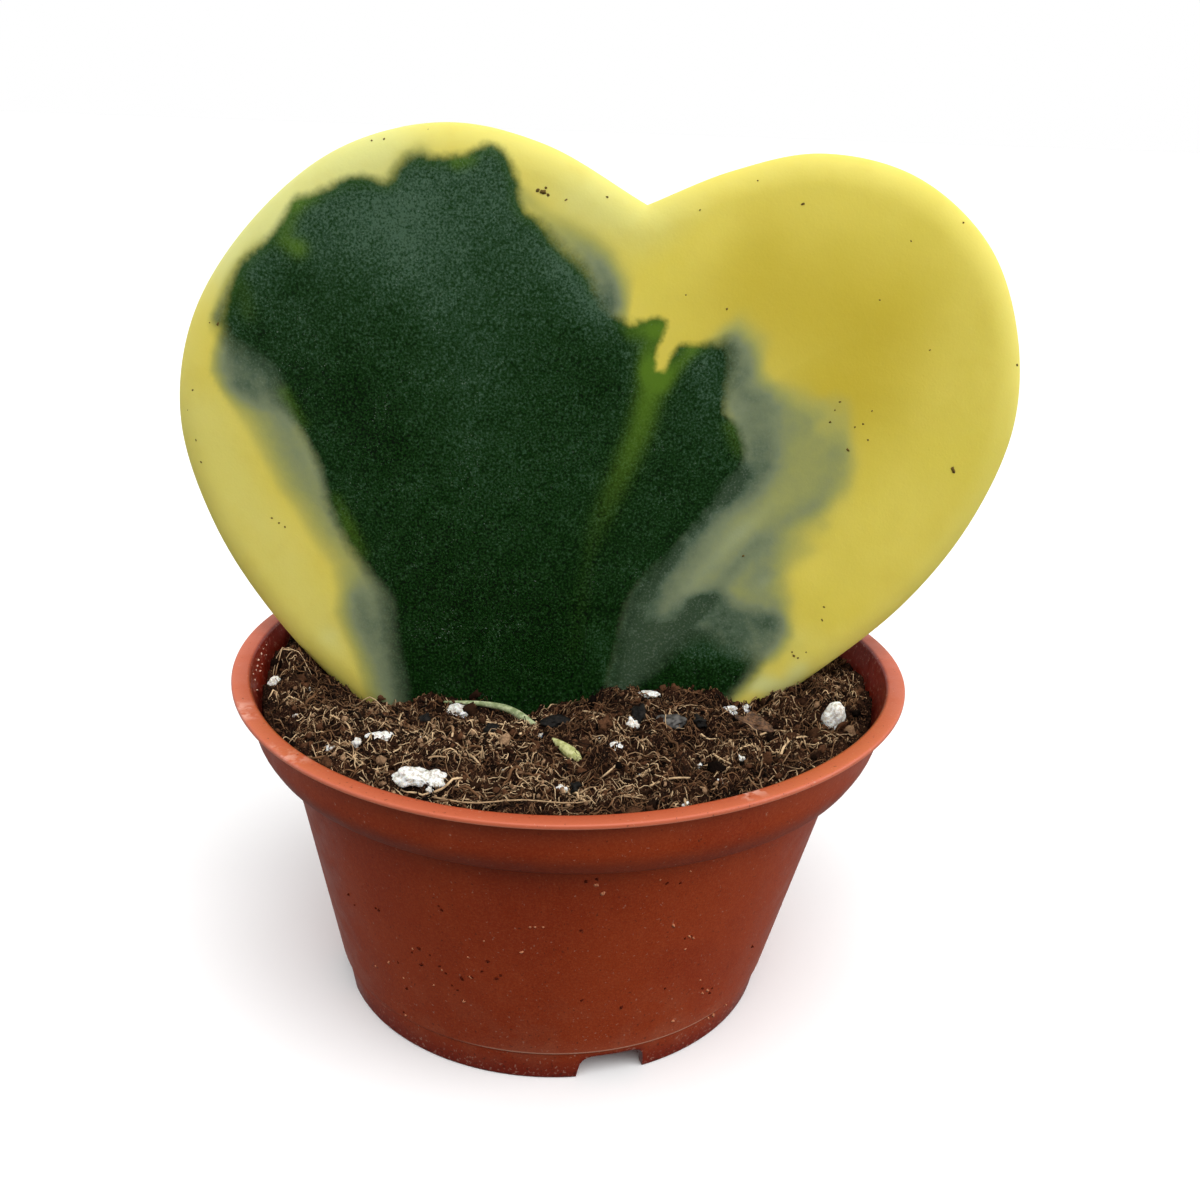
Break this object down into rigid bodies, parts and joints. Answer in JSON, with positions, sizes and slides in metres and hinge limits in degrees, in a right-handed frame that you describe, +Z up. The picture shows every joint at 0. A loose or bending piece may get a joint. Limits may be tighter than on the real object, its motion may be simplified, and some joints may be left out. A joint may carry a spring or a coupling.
{
  "type": "potted hoya plant",
  "caption": "Single thick heart-shaped succulent leaf standing notch up in the soil of a small flanged nursery pot with a gapped foot ring.",
  "frame": {"origin": "on the ground, at the middle of the plant's box seen from above", "axes": "+Z up, X across the leaf's blade, the leaf's patterned face and the front towards -Y"},
  "size_m": [0.0734, 0.06, 0.0764],
  "materials": {
    "terracotta_plastic": "satin moulded plastic, terracotta brown",
    "peat_and_coir": "loose peat with coir fibres",
    "variegated_blade": "smooth fleshy leaf, yellow edge and dark green middle",
    "perlite": "rough white foamed mineral",
    "grey_stone": "dull blue-grey chip",
    "charred_bark": "black bark",
    "brown_bark": "brown papery bark",
    "dry_green_stalk": "dry green plant stalk",
    "bud_husk": "ribbed yellow-green husk"
  },
  "bodies": {
    "root": {"pot": "terracotta_plastic", "soil": "peat_and_coir", "leaf": "variegated_blade", "perlite_1": "perlite", "perlite_2": "perlite", "perlite_3": "perlite", "perlite_4": "perlite", "perlite_5": "perlite", "perlite_6": "perlite", "perlite_7": "perlite", "perlite_8": "perlite", "stone_chip": "grey_stone", "bark_chip": "charred_bark", "bark_flake": "brown_bark", "green_stalk": "dry_green_stalk", "green_bud": "bud_husk"}
  },
  "joints": []
}
